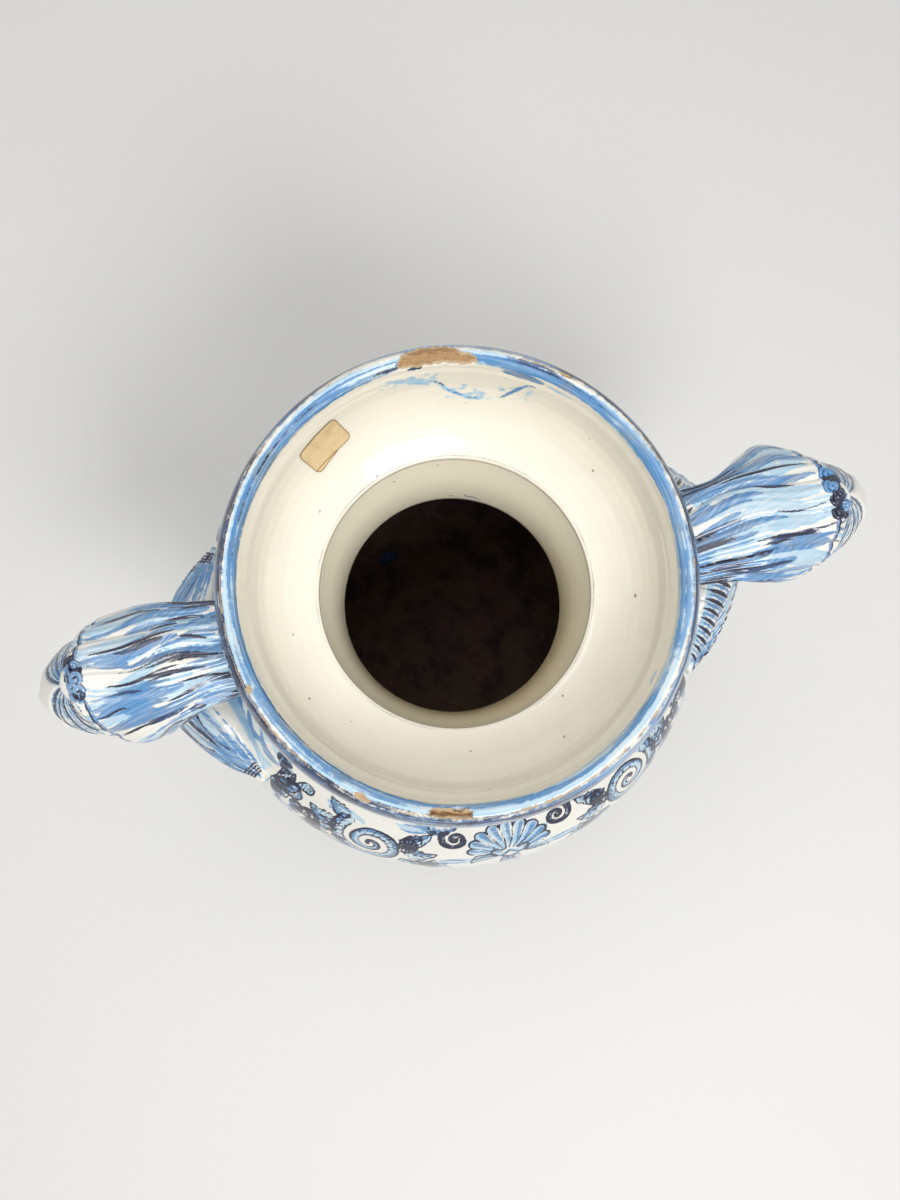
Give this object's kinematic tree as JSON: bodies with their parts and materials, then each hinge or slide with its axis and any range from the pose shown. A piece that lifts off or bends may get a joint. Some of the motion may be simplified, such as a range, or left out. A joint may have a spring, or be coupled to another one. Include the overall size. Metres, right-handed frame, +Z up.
{
  "type": "vase",
  "caption": "Broad-shouldered earthenware vase on a spreading foot, with a wide rolled-lip mouth and opposed handles modelled as hooded masks between wings, in blue on white glaze.",
  "frame": {"origin": "on the ground, at the centre of the foot's resting ring, on the turning axis", "axes": "+Z up along the turning axis, +X towards the right handle, -Y towards the front"},
  "size_m": [0.6031, 0.407, 0.5002],
  "materials": {
    "painted_glaze": "glossy tin glaze painted in blue",
    "white_glaze": "glossy cream-white tin glaze",
    "blue_glaze": "glossy tin glaze brushed over with blue strands",
    "label_paper": "aged matt paper"
  },
  "bodies": {
    "root": {"foot": "painted_glaze", "lower_body": "painted_glaze", "upper_body": "painted_glaze", "throat_collar": "white_glaze", "flared_mouth": "white_glaze", "paper_label": "label_paper", "right_mane": "blue_glaze", "right_mask": "white_glaze", "right_beard": "blue_glaze", "right_front_wing": "blue_glaze", "right_rear_wing": "blue_glaze", "left_mane": "blue_glaze", "left_mask": "white_glaze", "left_beard": "blue_glaze", "left_front_wing": "blue_glaze", "left_rear_wing": "blue_glaze"}
  },
  "joints": []
}
